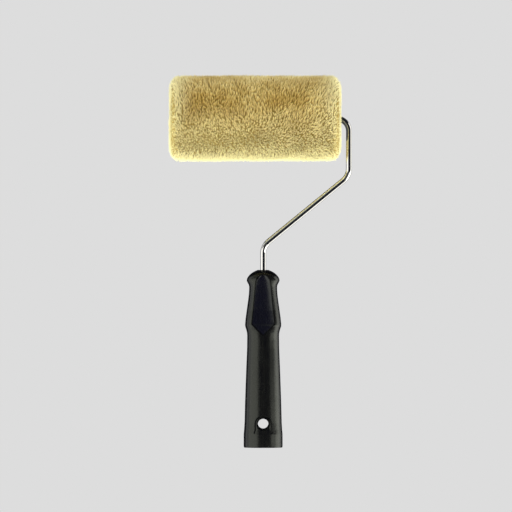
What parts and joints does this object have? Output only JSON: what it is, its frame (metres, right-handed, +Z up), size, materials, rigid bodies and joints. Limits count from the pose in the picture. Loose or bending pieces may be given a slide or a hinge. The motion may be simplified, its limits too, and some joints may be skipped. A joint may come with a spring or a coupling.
{
  "type": "paint roller",
  "caption": "Hand paint roller with a plush sleeve on a sprung wire cage, a bent rod frame and a moulded handle with a pole socket and a hanging hole.",
  "frame": {"origin": "middle of the pole socket's mouth, at the handle's lower end", "axes": "+Z up the handle, +X along the roller's axle towards the rod's upright, +Y to the back"},
  "size_m": [0.1914, 0.09, 0.3905],
  "materials": {
    "handle_plastic": "fine moulded grain",
    "plated_rod": "bright nickel plate",
    "plated_wire": "dull zinc plate",
    "washer_steel": "stamped, zinc plated",
    "nut_steel": "spring steel, phosphated",
    "cap_plastic": "moulded polypropylene",
    "bush_plastic": "moulded acetal",
    "core_tube": "extruded polypropylene",
    "pile": "long plush, lambskin look"
  },
  "bodies": {
    "frame": {"handle_grip": "handle_plastic", "frame_rod": "plated_rod", "inboard_washer": "washer_steel", "outboard_washer": "washer_steel", "push_nut": "nut_steel"},
    "cage": {"inboard_end_cap": "cap_plastic", "inboard_cap_cover": "cap_plastic", "inboard_bush": "bush_plastic", "outboard_end_cap": "cap_plastic", "outboard_cap_cover": "cap_plastic", "outboard_bush": "bush_plastic", "centre_spreader": "cap_plastic", "cage_wire_1": "plated_wire", "cage_wire_2": "plated_wire", "cage_wire_3": "plated_wire", "cage_wire_4": "plated_wire", "cage_wire_5": "plated_wire", "cage_wire_6": "plated_wire"},
    "sleeve": {"sleeve_core": "core_tube", "pile_cover": "pile"}
  },
  "joints": [
    {"name": "roller_spin", "type": "hinge", "parent": "frame", "child": "cage", "pos_m": [0, 0, 0.3455], "axis": [1, 0, 0], "continuous": true},
    {"name": "sleeve_slide", "type": "slide", "parent": "cage", "child": "sleeve", "axis": [-1, 0, 0], "range_m": [0, 0.19]}
  ]
}
